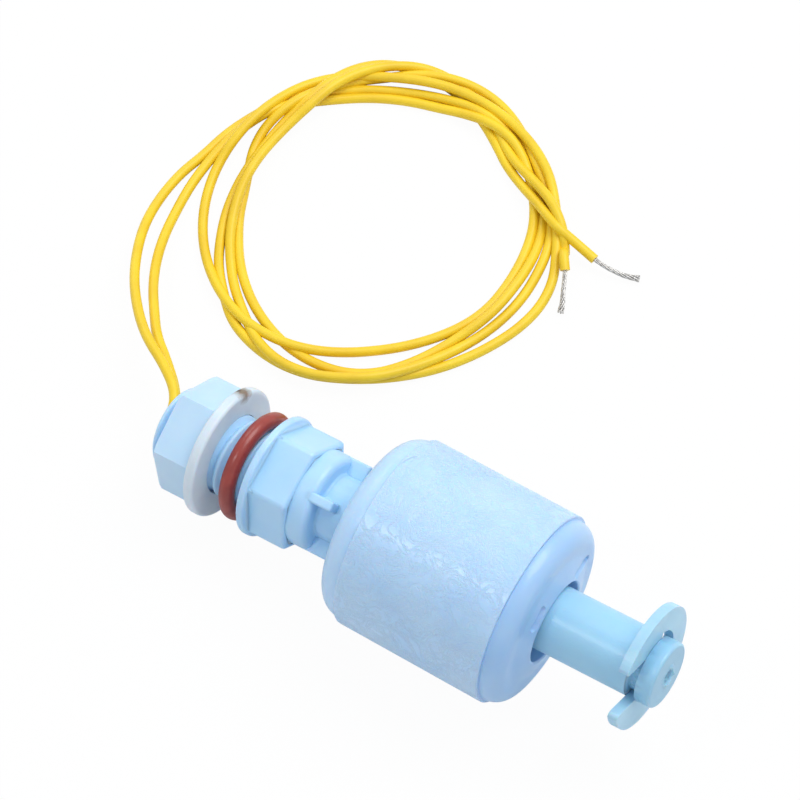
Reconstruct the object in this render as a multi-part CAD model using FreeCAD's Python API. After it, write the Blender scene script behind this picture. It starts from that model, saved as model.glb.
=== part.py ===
import FreeCAD, Part
import math
import os

# Miniature float level switch: a moulded stem with a threaded stud, flange and spanner hex at
# one end, a foamed float that slides on the stem, a clip that stops the float, and two thin
# leads that leave the stud and lie loosely coiled beside the switch.  Millimetres.
#
# Two frames are used.  In the stem frame, Z runs along the stem from the flange's sealing face
# (Z = 0) to the tip, X is the side that is uppermost when the switch lies down, and Y completes
# it.  In the part frame, +Z is up, +X is the stem's direction seen from above, and the origin is
# on the table below the middle of the switch.

V = FreeCAD.Vector
STEM_AXIS = V(0, 0, 1)

# ---- stem body -----------------------------------------------------------------------------
STEM_R = 4.0                 # stem tube, outside
STEM_LEN = 53.2              # sealing face to tip
STUD_R = 5.0                 # M10 thread, over the crests
STUD_LEN = 13.0              # sealing face to the stud's mouth
THREAD_PITCH = 1.5
BORE_R = 2.6                 # blind bore from the stud's mouth
TIP_WALL = 5.7               # solid plastic beyond the bore
FLANGE_R = 7.55
FLANGE_T = 1.0
HEX_AF = 12.6                # across flats of the moulded hex
HEX_LEN = 5.0
HEX_TURN = -13.5             # degrees, one corner's place about the stem
COLLAR_R = 6.0
COLLAR_LEN = 2.5
COLLAR_EDGE = 0.7
RIB_T = 1.2
RIB_LEN = 2.4
RIB_TURN = 25.1              # degrees, the first rib's place
RIB_COUNT = 4
HEAD_LEN = 1.95              # head that keeps the clip on
HEAD_CHAMFER = 0.35
GROOVE_R = 3.0               # bottom of the clip's groove
GATE_R = 0.85                # recess of the moulding gate in the tip
GATE_DEPTH = 0.8
GATE_NIB_R = 0.4
GATE_NIB_LEN = 0.45
MOULD_EDGE = 0.3             # small moulded edge radius

# ---- nut, washer and O-ring ----------------------------------------------------------------
THREAD_CLEARANCE = 0.08      # nut and washer run on the thread's crests
NUT_AF = 12.7
NUT_LEN = 4.8
NUT_BOSS_R = 6.0
NUT_BOSS_LEN = 1.3
NUT_TURN = -4.9              # degrees, one corner's place
WASHER_R = 8.15
WASHER_T = 1.4
WASHER_EDGE = 0.45
ORING_SECTION_R = 0.95
ORING_SQUEEZE = 0.03         # the ring is stretched on to the thread's crests
ORING_OFF_FLANGE = 1.35      # the ring lies loose, a little off its seat
NUT_PROUD = 0.2              # the nut hides the stud's end

# ---- clip ----------------------------------------------------------------------------------
CLIP_R = 7.6
CLIP_T = 1.2
CLIP_PLAY = 0.05             # each side, in the groove
CLIP_MOUTH = 5.6
CLIP_TURN = 62.1             # degrees, direction of the mouth
CLIP_POCKET_R = 4.7          # relief between the prongs
CLIP_POCKET_FROM = 18.0      # degrees from the middle prong
CLIP_POCKET_TO = 80.0
CLIP_TIP_R = 0.5

# ---- float and its magnet ------------------------------------------------------------------
FLOAT_R = 11.85
FLOAT_BAND = 19.1            # length of the full-diameter band
FLOAT_STEP = 0.45            # the ends are this much smaller in radius
FLOAT_END_MOUNT = 3.1        # end beyond the band, towards the hex
FLOAT_END_TIP = 2.25         # end beyond the band, towards the tip, outside its hub
FLOAT_HUB_RISE = 0.85        # the tip end rises this much to the bore
FLOAT_HUB_R = 8.0            # where that rise begins
FLOAT_SHOULDER_MOUNT = 2.8   # radii of the rounded shoulders
FLOAT_SHOULDER_TIP = 2.1
FLOAT_HUB_BLEND = 3.0
FLOAT_CLEARANCE = 1.1        # radial, bore to stem
FLOAT_CENTRE = 26.0          # middle of the band when the switch lies at rest
FLOAT_LEAN_GAP = 0.22        # left at the bore's ends when the float leans on the stem
KIDNEY_R = 6.4               # four marks of the pins that held the magnet in the mould
KIDNEY_W = 0.9
KIDNEY_SPAN = 20.0           # degrees
KIDNEY_DEPTH = 0.55
KIDNEY_TURN = 28.0
MAGNET_IN_R = 6.5
MAGNET_OUT_R = 9.0
MAGNET_LEN = 5.0
MAGNET_OFFSET = 4.0          # magnet's middle from the float's, towards the tip
SLIDE_MARGIN = 0.1           # left at the ends of the float's travel

# ---- reed switch and wiring inside the stem --------------------------------------------------
GLASS_R = 1.05
GLASS_WALL = 0.3
GLASS_LEN = 14.0
BLADE_R = 0.3                # round tail of each blade
BLADE_FLAT_T = 0.25
BLADE_FLAT_W = 1.0
BLADE_GAP = 0.1              # open contact gap
BLADE_OVERLAP = 1.2
WIRE_R = 0.625               # insulated lead
CORE_R = 0.28                # tinned strands
WIRE_SIDE = 0.8              # one lead above the bore's middle, the other below
TAIL_UPPER = 8.0             # the mount-side blade's tail beyond the glass
TAIL_PROUD = 0.9             # strands and tails reach past their solder
TAIL_BEND_AT = 2.5           # tip-side tail: straight before its bend
TAIL_BEND_RUN = 2.8
SOLDER_R = 0.7
SOLDER_LEN = 3.0
SOLDER_FILM = 0.08           # solder between strands and blade
SLEEVE_WALL = 0.2            # shrunk on to the solder
SLEEVE_OVER = 1.9            # sleeve past the solder, each way
SLEEVE_GAP = 0.2             # sleeve to the lead's insulation or the tail's bend
BORE_END_GAP = 2.0           # wiring to the bore's end
POTTING_SET_BACK = 0.3
POTTING_LEN = 9.7

# ---- leads on the table ----------------------------------------------------------------------
COIL_X, COIL_Y = -30.0, 39.9     # middle of the coil
COIL_OUT_R = 23.4
COIL_IN_R = 17.3
COIL_H = 3.4
COIL_EDGE = 1.2
LEAD_STRAIGHT = 2.2              # run straight out of the stud's mouth
ROUTE_SETBACK = 0.45             # share of the shorter run that each bend takes

# Hand-chosen points, in the part frame, after the straight run out of the stud.
LEAD_A_ROUTE = [(-36.8, 3.4, 8.2), (-39.3, 5.3, 7.9), (-43.0, 7.9, 7.1), (-46.5, 10.9, 5.9),
                (-49.9, 14.8, 4.5), (-52.6, 19.3, 3.0), (-54.4, 23.6, 1.8), (-55.2, 28.0, 0.9),
                (-55.1, 32.2, 0.7), (-54.3, 36.4, 0.7), (-53.2, 40.2, 0.7), (-52.0, 43.8, 0.7)]
LEAD_B_ROUTE = [(-37.0, 4.4, 6.3), (-39.9, 7.2, 6.0), (-42.4, 9.4, 5.4), (-45.2, 12.4, 4.4),
                (-47.7, 15.6, 3.5), (-49.9, 19.4, 2.4), (-51.5, 23.4, 1.4), (-52.3, 27.6, 0.8),
                (-52.5, 31.6, 0.7), (-52.3, 35.4, 0.7)]
TAIL_A_ROUTE = [(-9.8, 48.6, 2.8), (-8.6, 47.3, 2.6), (-7.1, 45.4, 2.0)]
TAIL_B_ROUTE = [(-12.0, 50.6, 2.2), (-8.6, 49.6, 2.0), (-5.0, 49.0, 1.4)]
BARE_A_ROUTE = [(-7.1, 45.4, 2.0), (-6.0, 43.2, 1.1), (-4.9, 40.8, 0.35)]
BARE_B_ROUTE = [(-5.0, 49.0, 1.4), (-2.2, 49.0, 0.9), (0.8, 50.1, 0.35)]

# ---- worked out from the sizes above ---------------------------------------------------------
HEX_END = FLANGE_T + HEX_LEN
COLLAR_END = HEX_END + COLLAR_LEN
RIB_END = COLLAR_END + RIB_LEN
GROOVE_END = STEM_LEN - HEAD_LEN
GROOVE_START = GROOVE_END - CLIP_T - 2 * CLIP_PLAY
BORE_END = STEM_LEN - TIP_WALL
ORING_Z = -(ORING_OFF_FLANGE + ORING_SECTION_R)
ORING_RING_R = STUD_R - ORING_SQUEEZE + ORING_SECTION_R
NUT_END = -STUD_LEN - NUT_PROUD
NUT_HEX_END = NUT_END + NUT_BOSS_LEN
NUT_FACE = NUT_HEX_END + NUT_LEN
WASHER_FACE = NUT_FACE + WASHER_T
PANEL_GAP = ORING_Z - ORING_SECTION_R - WASHER_FACE
NUT_BORE_R = STUD_R + THREAD_CLEARANCE
FLOAT_BORE_R = STEM_R + FLOAT_CLEARANCE
FLOAT_HALF = FLOAT_BAND / 2
FLOAT_END_R = FLOAT_R - FLOAT_STEP
FLOAT_FAR = FLOAT_HALF + max(FLOAT_END_MOUNT, FLOAT_END_TIP + FLOAT_HUB_RISE)
FLOAT_LEAN = math.asin((FLOAT_CLEARANCE - FLOAT_LEAN_GAP) / FLOAT_FAR)
LOWER_SOLDER = BORE_END - BORE_END_GAP - SLEEVE_OVER - SOLDER_LEN
BEND_END = LOWER_SOLDER - SLEEVE_OVER - SLEEVE_GAP
BEND_START = BEND_END - TAIL_BEND_RUN
GLASS_END = BEND_START - TAIL_BEND_AT
GLASS_START = GLASS_END - GLASS_LEN
REED_CENTRE = (GLASS_START + GLASS_END) / 2
UPPER_SOLDER = GLASS_START - TAIL_UPPER
JACKET_END_UPPER = UPPER_SOLDER - SLEEVE_OVER - SLEEVE_GAP
JACKET_END_LOWER = BEND_START + TAIL_BEND_RUN / 3
UPPER_WIRE_X = WIRE_SIDE
LOWER_WIRE_X = -WIRE_SIDE
REED_X = UPPER_WIRE_X + BLADE_R + CORE_R + SOLDER_FILM
TAIL_TIP_X = LOWER_WIRE_X + BLADE_R + CORE_R + SOLDER_FILM


def rest_tilt():
    """Angle of the stem when the washer's rim and the float's band both touch the table."""
    lean_c, lean_s = math.cos(FLOAT_LEAN), math.sin(FLOAT_LEAN)
    float_z = FLOAT_CENTRE - FLOAT_HALF * lean_c - FLOAT_R * lean_s
    float_x = FLOAT_HALF * lean_s - FLOAT_R * lean_c
    return math.atan2(-WASHER_R - float_x, float_z - NUT_FACE)


TILT = rest_tilt()
TILT_C, TILT_S = math.cos(TILT), math.sin(TILT)
FLANGE_HEIGHT = WASHER_R * TILT_C - NUT_FACE * TILT_S
REAR_X = NUT_END * TILT_C - NUT_BOSS_R * TILT_S
FRONT_X = STEM_LEN * TILT_C + (STEM_R - HEAD_CHAMFER) * TILT_S
FLANGE_X = -(REAR_X + FRONT_X) / 2


def rest_matrix():
    """Stem frame to part frame: stem X up, stem Y towards -Y, stem Z along +X and rising."""
    return FreeCAD.Matrix(-TILT_S, 0, TILT_C, FLANGE_X,
                          0, -1, 0, 0,
                          TILT_C, 0, TILT_S, FLANGE_HEIGHT,
                          0, 0, 0, 1)


def lean_matrix():
    """The loose float tips about its middle, its tip end down, until it leans on the stem."""
    placement = FreeCAD.Placement(V(0, 0, FLOAT_CENTRE),
                                  FreeCAD.Rotation(V(0, 1, 0), -math.degrees(FLOAT_LEAN)))
    return placement.toMatrix()


# ---- building blocks -------------------------------------------------------------------------
def path_edges(points, setbacks, closed=False):
    """Straight edges with a tangent arc at each point that has a setback."""
    count = len(points)
    edges, radii = [], []
    starts, ends = {}, {}
    for i, (point, setback) in enumerate(zip(points, setbacks)):
        starts[i] = ends[i] = point
        if setback <= 0 or (not closed and i in (0, count - 1)):
            continue
        into = (point - points[i - 1]).normalize()
        out = (points[(i + 1) % count] - point).normalize()
        turn = into.getAngle(out)
        radius = setback / math.tan(turn / 2)
        starts[i] = point - into * setback
        ends[i] = point + out * setback
        inward = (out - into).normalize()
        middle = point + inward * (radius / math.cos(turn / 2) - radius)
        edges.append((i, Part.Arc(starts[i], middle, ends[i]).toShape()))
        radii.append(radius)
    arcs = dict(edges)
    ordered = []
    for i in range(count):
        if i in arcs:
            ordered.append(arcs[i])
        if i == count - 1 and not closed:
            break
        head = starts[(i + 1) % count]
        if ends[i].distanceToPoint(head) > 1e-6:
            ordered.append(Part.LineSegment(ends[i], head).toShape())
    return ordered, radii


def turned(corners):
    """Solid turned about the stem's axis from corners (radius, z, edge radius)."""
    points = [V(r, 0, z) for r, z, _ in corners]
    setbacks = []
    for i, (_, _, edge) in enumerate(corners):
        into = (points[i] - points[i - 1]).normalize()
        out = (points[(i + 1) % len(points)] - points[i]).normalize()
        setbacks.append(edge * math.tan(into.getAngle(out) / 2) if edge else 0)
    edges, _ = path_edges(points, setbacks, closed=True)
    return Part.Face(Part.Wire(edges)).revolve(V(0, 0, 0), STEM_AXIS, 360)


def cylinder(radius, z0, z1, x=0.0):
    return Part.makeCylinder(radius, z1 - z0, V(x, 0, z0), STEM_AXIS)


def hexagon(across_flats, z0, z1, turn, edge):
    """Hexagonal prism with moulded corners."""
    corner = across_flats / 2 / math.cos(math.radians(30))
    angles = [math.radians(turn + 60 * k) for k in range(7)]
    outline = Part.makePolygon([V(corner * math.cos(a), corner * math.sin(a), z0) for a in angles])
    prism = Part.Face(outline).extrude(V(0, 0, z1 - z0))
    upright = [e for e in prism.Edges if abs(e.tangentAt(e.FirstParameter).z) > 0.9]
    return prism.makeFillet(edge, upright)


def tube_along(points, radius, name):
    """Round tube along straight runs joined by the largest arcs that they allow."""
    points = [V(*p) for p in points]
    runs = [a.distanceToPoint(b) for a, b in zip(points, points[1:])]
    setbacks = [0] + [ROUTE_SETBACK * min(a, b) for a, b in zip(runs, runs[1:])] + [0]
    edges, radii = path_edges(points, setbacks)
    path = Part.Wire(edges)
    start = (points[1] - points[0]).normalize()
    section = Part.Wire(Part.Circle(points[0], start, radius).toShape())
    tube = path.makePipeShell([section], True, True)
    if tube.Volume < 0:
        tube.reverse()
    share = tube.Volume / (math.pi * radius ** 2 * path.Length)
    print(name, "length", round(path.Length, 1), "radii", [round(r, 1) for r in radii],
          "volume share", round(share, 3))
    return tube


# ---- the stem and what screws on to it -------------------------------------------------------
def stem_ribs():
    """Ribs on the collar's face that keep the float off it, so that liquid drains."""
    ribs = []
    for k in range(RIB_COUNT):
        edges, _ = path_edges([V(0, -RIB_T / 2, COLLAR_END - COLLAR_EDGE),
                               V(COLLAR_R, -RIB_T / 2, COLLAR_END - COLLAR_EDGE),
                               V(COLLAR_R, -RIB_T / 2, RIB_END),
                               V(0, -RIB_T / 2, RIB_END)],
                              [0, 0, COLLAR_EDGE, 0], closed=True)
        rib = Part.Face(Part.Wire(edges)).extrude(V(0, RIB_T, 0))
        rib.rotate(V(0, 0, 0), STEM_AXIS, RIB_TURN + 360 / RIB_COUNT * k)
        ribs.append(rib)
    return ribs


def stem_body():
    """One moulding: stud, flange, hex, collar, ribs, tube, clip groove and head."""
    turned_part = turned([
        (0, -STUD_LEN, 0), (STUD_R, -STUD_LEN, MOULD_EDGE), (STUD_R, 0, 0),
        (FLANGE_R, 0, MOULD_EDGE), (FLANGE_R, FLANGE_T, MOULD_EDGE), (COLLAR_R, FLANGE_T, 0),
        (COLLAR_R, COLLAR_END, COLLAR_EDGE), (STEM_R, COLLAR_END, 0),
        (STEM_R, GROOVE_START, 0), (GROOVE_R, GROOVE_START, 0), (GROOVE_R, GROOVE_END, 0),
        (STEM_R, GROOVE_END, 0), (STEM_R, STEM_LEN, HEAD_CHAMFER), (0, STEM_LEN, 0)])
    spanner_hex = hexagon(HEX_AF, FLANGE_T, HEX_END, HEX_TURN, MOULD_EDGE)
    body = turned_part.multiFuse([spanner_hex] + stem_ribs()).removeSplitter()
    gate = cylinder(GATE_R, STEM_LEN - GATE_DEPTH, STEM_LEN + 1)
    nib = cylinder(GATE_NIB_R, STEM_LEN - GATE_DEPTH - 0.1, STEM_LEN - GATE_DEPTH + GATE_NIB_LEN)
    bore = turned([(0, -STUD_LEN - 1, 0), (BORE_R, -STUD_LEN - 1, 0), (BORE_R, BORE_END, MOULD_EDGE),
                   (0, BORE_END, 0)])
    return body.cut(bore).cut(gate.cut(nib))


def hex_nut():
    """Moulded nut with a round boss on its outer end."""
    nut = hexagon(NUT_AF, NUT_HEX_END, NUT_FACE, NUT_TURN, MOULD_EDGE)
    boss = turned([(0, NUT_END, 0), (NUT_BOSS_R, NUT_END, MOULD_EDGE),
                   (NUT_BOSS_R, NUT_FACE - NUT_LEN / 2, 0), (0, NUT_FACE - NUT_LEN / 2, 0)])
    hole = turned([(0, NUT_END - 1, 0), (NUT_BORE_R + MOULD_EDGE, NUT_END - 1, 0),
                   (NUT_BORE_R + MOULD_EDGE, NUT_END, 0), (NUT_BORE_R, NUT_END + MOULD_EDGE, 0),
                   (NUT_BORE_R, NUT_FACE - MOULD_EDGE, 0), (NUT_BORE_R + MOULD_EDGE, NUT_FACE, 0),
                   (NUT_BORE_R + MOULD_EDGE, NUT_FACE + 1, 0), (0, NUT_FACE + 1, 0)])
    return nut.fuse(boss).removeSplitter().cut(hole)


def flat_washer():
    return turned([(NUT_BORE_R, NUT_FACE, 0), (WASHER_R, NUT_FACE, WASHER_EDGE),
                   (WASHER_R, WASHER_FACE, WASHER_EDGE), (NUT_BORE_R, WASHER_FACE, 0)])


def o_ring():
    return Part.makeTorus(ORING_RING_R, ORING_SECTION_R, V(0, 0, ORING_Z), STEM_AXIS)


def retaining_clip():
    """E-shaped clip: three prongs in the groove, reliefs between them, one open side."""
    z0 = GROOVE_START + CLIP_PLAY
    z1 = z0 + CLIP_T
    disc = cylinder(CLIP_R, z0, z1)
    seat = cylinder(GROOVE_R, z0 - 1, z1 + 1)
    mouth = Part.makeBox(CLIP_R + 1, CLIP_MOUTH, CLIP_T + 2, V(0, -CLIP_MOUTH / 2, z0 - 1))
    clip = disc.cut(mouth.fuse(seat))
    for side in (-1, 1):
        relief = Part.makeCylinder(CLIP_POCKET_R, CLIP_T + 2, V(0, 0, z0 - 1), STEM_AXIS,
                                   CLIP_POCKET_TO - CLIP_POCKET_FROM)
        start = CLIP_POCKET_FROM if side > 0 else -CLIP_POCKET_TO
        relief.rotate(V(0, 0, 0), STEM_AXIS, 180 + start)
        clip = clip.cut(relief)
    tips = [e for e in clip.Edges
            if abs(abs(e.Vertexes[0].Y) - CLIP_MOUTH / 2) < 0.01 and e.Vertexes[0].X > GROOVE_R
            and abs(e.Length - CLIP_T) < 0.01]
    clip = clip.makeFillet(CLIP_TIP_R, tips)
    clip.rotate(V(0, 0, 0), STEM_AXIS, CLIP_TURN)
    return clip


# ---- the float -------------------------------------------------------------------------------
def kidney_marks(face_z):
    """Shallow curved recesses in the tip end."""
    marks = []
    for k in range(4):
        low = face_z - KIDNEY_DEPTH
        slot = Part.makeBox(KIDNEY_W, 0.001, 3, V(KIDNEY_R - KIDNEY_W / 2, 0, low))
        face = [f for f in slot.Faces if abs(f.normalAt(0, 0).y) > 0.9][0]
        band = face.revolve(V(0, 0, 0), STEM_AXIS, KIDNEY_SPAN)
        ends = []
        for turn in (0, KIDNEY_SPAN):
            end = Part.makeCylinder(KIDNEY_W / 2, 3, V(KIDNEY_R, 0, low), STEM_AXIS)
            end.rotate(V(0, 0, 0), STEM_AXIS, turn)
            ends.append(end)
        mark = band.multiFuse(ends)
        mark.rotate(V(0, 0, 0), STEM_AXIS, KIDNEY_TURN - KIDNEY_SPAN / 2 + 90 * k)
        marks.append(mark)
    return marks


def float_body():
    """Foamed float, round its bore, with stepped and rounded ends and a closed magnet pocket."""
    rear = -FLOAT_HALF - FLOAT_END_MOUNT
    shoulder = FLOAT_HALF + FLOAT_END_TIP
    hub = shoulder + FLOAT_HUB_RISE
    slope = FLOAT_HUB_RISE / (FLOAT_HUB_R - FLOAT_BORE_R)
    body = turned([
        (FLOAT_BORE_R, rear, MOULD_EDGE), (FLOAT_END_R, rear, FLOAT_SHOULDER_MOUNT),
        (FLOAT_END_R, -FLOAT_HALF, 0), (FLOAT_R, -FLOAT_HALF, MOULD_EDGE / 2),
        (FLOAT_R, FLOAT_HALF, MOULD_EDGE / 2), (FLOAT_END_R, FLOAT_HALF, 0),
        (FLOAT_END_R, shoulder, FLOAT_SHOULDER_TIP), (FLOAT_HUB_R, shoulder, FLOAT_HUB_BLEND),
        (FLOAT_BORE_R, hub, MOULD_EDGE)])
    pocket = ring_magnet()
    marks = kidney_marks(hub - slope * (KIDNEY_R - FLOAT_BORE_R))
    body = body.cut(pocket).cut(marks[0].multiFuse(marks[1:]))
    return body


def ring_magnet():
    """Magnet that the float is foamed round."""
    low = MAGNET_OFFSET - MAGNET_LEN / 2
    high = MAGNET_OFFSET + MAGNET_LEN / 2
    return cylinder(MAGNET_OUT_R, low, high).cut(cylinder(MAGNET_IN_R, low - 1, high + 1))


# ---- the reed switch and its joints ----------------------------------------------------------
def glass_bulb():
    """Sealed glass tube with rounded, solid ends round the blades."""
    inner = GLASS_R - GLASS_WALL
    seal = 3 * GLASS_WALL
    outside = turned([(0, GLASS_START, 0), (GLASS_R, GLASS_START, GLASS_R * 0.6),
                      (GLASS_R, GLASS_END, GLASS_R * 0.6), (0, GLASS_END, 0)])
    inside = turned([(0, GLASS_START + seal, 0), (inner, GLASS_START + seal, inner * 0.6),
                     (inner, GLASS_END - seal, inner * 0.6), (0, GLASS_END - seal, 0)])
    tails = cylinder(BLADE_R, GLASS_START - 1, GLASS_END + 1)
    glass = outside.cut(inside).cut(tails)
    glass.translate(V(REED_X, 0, 0))
    return glass


def blade_flat(z0, z1, side):
    """Flattened contact end of a blade, just off the glass's middle line."""
    y0 = BLADE_GAP / 2 if side > 0 else -BLADE_GAP / 2 - BLADE_FLAT_T
    return Part.makeBox(BLADE_FLAT_W, BLADE_FLAT_T, z1 - z0, V(REED_X - BLADE_FLAT_W / 2, y0, z0))


def reed_blade_upper():
    """Mount-side blade: a straight tail and a flat contact end."""
    root = REED_CENTRE - GLASS_LEN / 4
    tail = cylinder(BLADE_R, UPPER_SOLDER - TAIL_PROUD, root, REED_X)
    return tail.fuse(blade_flat(root - BLADE_OVERLAP, REED_CENTRE + BLADE_OVERLAP / 2, 1))


def reed_blade_lower():
    """Tip-side blade: its tail bends over to the long lead."""
    root = REED_CENTRE + GLASS_LEN / 4
    points = [(REED_X, 0, root), (REED_X, 0, BEND_START), (TAIL_TIP_X, 0, BEND_END),
              (TAIL_TIP_X, 0, LOWER_SOLDER + SOLDER_LEN + TAIL_PROUD)]
    tail = tube_along(points, BLADE_R, "blade tail")
    return tail.fuse(blade_flat(REED_CENTRE - BLADE_OVERLAP / 2, root + BLADE_OVERLAP, -1))


def lead_core(solder, wire_x):
    """Tinned strands inside the insulation, bare past its end."""
    return cylinder(CORE_R, -STUD_LEN, solder + SOLDER_LEN + TAIL_PROUD, wire_x)


def lead_jacket(jacket_end, wire_x):
    hole = cylinder(CORE_R, -STUD_LEN - 1, jacket_end + 1, wire_x)
    return cylinder(WIRE_R, -STUD_LEN, jacket_end, wire_x).cut(hole)


def solder_joint(z0, core_x, tail_x):
    """Solder round a blade's tail and a lead's strands."""
    middle = (core_x + tail_x) / 2
    blob = turned([(0, z0, 0), (SOLDER_R, z0, SOLDER_R * 0.6),
                   (SOLDER_R, z0 + SOLDER_LEN, SOLDER_R * 0.6), (0, z0 + SOLDER_LEN, 0)])
    blob.translate(V(middle, 0, 0))
    wires = cylinder(CORE_R, z0 - 1, z0 + SOLDER_LEN + 1, core_x)
    wires = wires.fuse(cylinder(BLADE_R, z0 - 1, z0 + SOLDER_LEN + 1, tail_x))
    return blob.cut(wires)


def shrink_sleeve(z0, middle_x):
    """Heat-shrink tube over a solder joint."""
    low = z0 - SLEEVE_OVER
    high = z0 + SOLDER_LEN + SLEEVE_OVER
    hole = cylinder(SOLDER_R, low - 1, high + 1, middle_x)
    return cylinder(SOLDER_R + SLEEVE_WALL, low, high, middle_x).cut(hole)


def potting_plug():
    """Cast resin that seals the stud's mouth round both leads."""
    low = -STUD_LEN + POTTING_SET_BACK
    plug = cylinder(BORE_R, low, low + POTTING_LEN)
    for x in (UPPER_WIRE_X, LOWER_WIRE_X):
        plug = plug.cut(cylinder(WIRE_R, low - 1, low + POTTING_LEN + 1, x))
    return plug


# ---- the leads on the table ------------------------------------------------------------------
def mouth_points(wire_x):
    """Where a lead leaves the stud, and the end of its straight run, in the part frame."""
    matrix = rest_matrix()
    mouth = matrix.multVec(V(wire_x, 0, -STUD_LEN))
    straight = matrix.multVec(V(wire_x, 0, -STUD_LEN - LEAD_STRAIGHT))
    return [tuple(mouth), tuple(straight)]


def wire_coil():
    """Outer shape of the loosely coiled leads."""
    ring = turned([(COIL_IN_R, 0, COIL_EDGE), (COIL_OUT_R, 0, COIL_EDGE),
                   (COIL_OUT_R, COIL_H, COIL_EDGE), (COIL_IN_R, COIL_H, COIL_EDGE)])
    ring.translate(V(COIL_X, COIL_Y, 0))
    return ring


def stem_group():
    upper_middle = (UPPER_WIRE_X + REED_X) / 2
    lower_middle = (LOWER_WIRE_X + TAIL_TIP_X) / 2
    return {
        "stem_body": stem_body(),
        "hex_nut": hex_nut(),
        "flat_washer": flat_washer(),
        "o_ring": o_ring(),
        "retaining_clip": retaining_clip(),
        "reed_glass": glass_bulb(),
        "reed_blade_upper": reed_blade_upper(),
        "reed_blade_lower": reed_blade_lower(),
        "lead_core_upper": lead_core(UPPER_SOLDER, UPPER_WIRE_X),
        "lead_core_lower": lead_core(LOWER_SOLDER, LOWER_WIRE_X),
        "lead_jacket_upper": lead_jacket(JACKET_END_UPPER, UPPER_WIRE_X),
        "lead_jacket_lower": lead_jacket(JACKET_END_LOWER, LOWER_WIRE_X),
        "solder_joint_upper": solder_joint(UPPER_SOLDER, UPPER_WIRE_X, REED_X),
        "solder_joint_lower": solder_joint(LOWER_SOLDER, LOWER_WIRE_X, TAIL_TIP_X),
        "shrink_sleeve_upper": shrink_sleeve(UPPER_SOLDER, upper_middle),
        "shrink_sleeve_lower": shrink_sleeve(LOWER_SOLDER, lower_middle),
        "potting_plug": potting_plug(),
    }


def float_group():
    return {"float_body": float_body(), "ring_magnet": ring_magnet()}


def table_group():
    return {
        "lead_a": tube_along(mouth_points(UPPER_WIRE_X) + LEAD_A_ROUTE, WIRE_R, "lead_a"),
        "lead_b": tube_along(mouth_points(LOWER_WIRE_X) + LEAD_B_ROUTE, WIRE_R, "lead_b"),
        "wire_coil": wire_coil(),
        "tail_a": tube_along(TAIL_A_ROUTE, WIRE_R, "tail_a"),
        "tail_b": tube_along(TAIL_B_ROUTE, WIRE_R, "tail_b"),
        "bare_end_a": tube_along(BARE_A_ROUTE, CORE_R, "bare_end_a"),
        "bare_end_b": tube_along(BARE_B_ROUTE, CORE_R, "bare_end_b"),
    }


def build():
    """All nodes in the part frame, with the switch lying at rest."""
    rest = rest_matrix()
    lean = lean_matrix()
    nodes = {name: shape.transformShape(rest, True) for name, shape in stem_group().items()}
    for name, shape in float_group().items():
        nodes[name] = shape.transformShape(rest.multiply(lean), True)
    nodes.update(table_group())
    return nodes


def print_joints():
    """Axis, point and travel of each joint, in the part frame."""
    towards_mount = FLOAT_CENTRE - FLOAT_HALF - FLOAT_END_MOUNT - RIB_END
    towards_tip = GROOVE_START + CLIP_PLAY - FLOAT_CENTRE - FLOAT_HALF - FLOAT_END_TIP - FLOAT_HUB_RISE
    tip_out = math.sin(FLOAT_LEAN)
    print("axis", (round(TILT_C, 6), 0, round(TILT_S, 6)), "tilt", round(math.degrees(TILT), 3))
    print("point", (round(FLANGE_X, 4), 0, round(FLANGE_HEIGHT, 4)))
    print("float travel", round(-towards_mount + COLLAR_R * tip_out + SLIDE_MARGIN, 3),
          round(towards_tip - CLIP_R * tip_out - SLIDE_MARGIN, 3))
    print("nut travel", PANEL_GAP, "turns", round(PANEL_GAP / THREAD_PITCH, 3),
          "mm per radian", round(THREAD_PITCH / (2 * math.pi), 6))


os.makedirs("parts", exist_ok=True)
for node, solid in build().items():
    print(node, "valid", solid.isValid(), "solids", len(solid.Solids), "volume", round(solid.Volume, 2))
    solid.exportStep("parts/" + node + ".step")
print_joints()
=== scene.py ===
import math
import random

import bmesh
import bpy
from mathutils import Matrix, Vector


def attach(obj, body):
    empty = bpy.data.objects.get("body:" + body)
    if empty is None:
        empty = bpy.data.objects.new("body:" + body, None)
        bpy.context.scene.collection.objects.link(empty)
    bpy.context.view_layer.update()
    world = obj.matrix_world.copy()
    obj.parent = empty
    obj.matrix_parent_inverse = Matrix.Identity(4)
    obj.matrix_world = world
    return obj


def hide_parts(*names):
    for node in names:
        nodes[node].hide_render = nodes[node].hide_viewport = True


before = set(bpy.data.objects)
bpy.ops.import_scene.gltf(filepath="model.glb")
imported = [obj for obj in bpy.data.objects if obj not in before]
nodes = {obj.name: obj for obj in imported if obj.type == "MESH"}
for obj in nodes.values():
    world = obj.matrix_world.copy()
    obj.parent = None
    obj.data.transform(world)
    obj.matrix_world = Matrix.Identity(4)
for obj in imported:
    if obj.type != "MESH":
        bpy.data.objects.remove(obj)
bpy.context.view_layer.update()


# ---- camera ------------------------------------------------------------------------------------
# A long lens looks down on the switch from the right, so that the leads lie beyond it and the
# float's tip end faces the viewer.
CAMERA_PLACE = (0.088233, -0.141060, 0.362549)
CAMERA_ELEVATION = 62.15         # degrees above the table
CAMERA_AZIMUTH = 32.616          # degrees round from the front
FOCAL_LENGTH = 153.0             # millimetres, on a sensor 36 mm wide


def add_object(name, data):
    """Puts a new object with that data in the scene."""
    made = bpy.data.objects.new(name, data)
    bpy.context.scene.collection.objects.link(made)
    return made


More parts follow.
